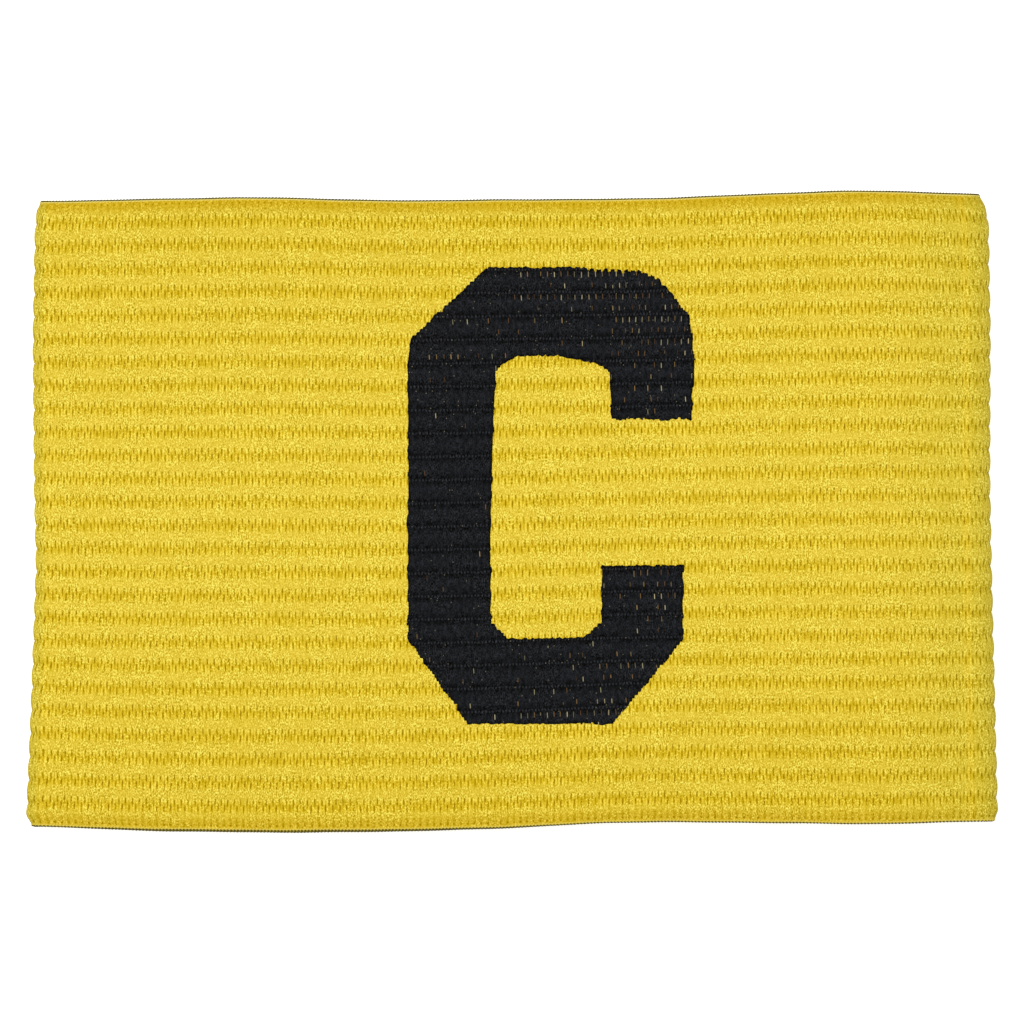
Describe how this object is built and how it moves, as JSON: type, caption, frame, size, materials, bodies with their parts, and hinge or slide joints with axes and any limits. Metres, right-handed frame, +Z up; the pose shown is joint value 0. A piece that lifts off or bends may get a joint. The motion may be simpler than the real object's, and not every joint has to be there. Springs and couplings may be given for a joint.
{
  "type": "captain armband",
  "caption": "Wide loop of ribbed yellow elastic, lying pressed flat, with a black block letter C on its front; worn round the upper arm by a team's captain.",
  "frame": {"origin": "middle of the base, where the back layer lies on the surface", "axes": "+X from the left fold to the right fold, +Y across the band towards the letter's top, +Z up from the back layer to the printed front layer"},
  "size_m": [0.1564, 0.1032, 0.0098],
  "materials": {
    "elastic": "matte, yellow ribbed knit with a faint sheen of the yarn",
    "ink": "matte black print on the cloth"
  },
  "bodies": {
    "root": {"band": "elastic", "letter_print": "ink"}
  },
  "joints": []
}
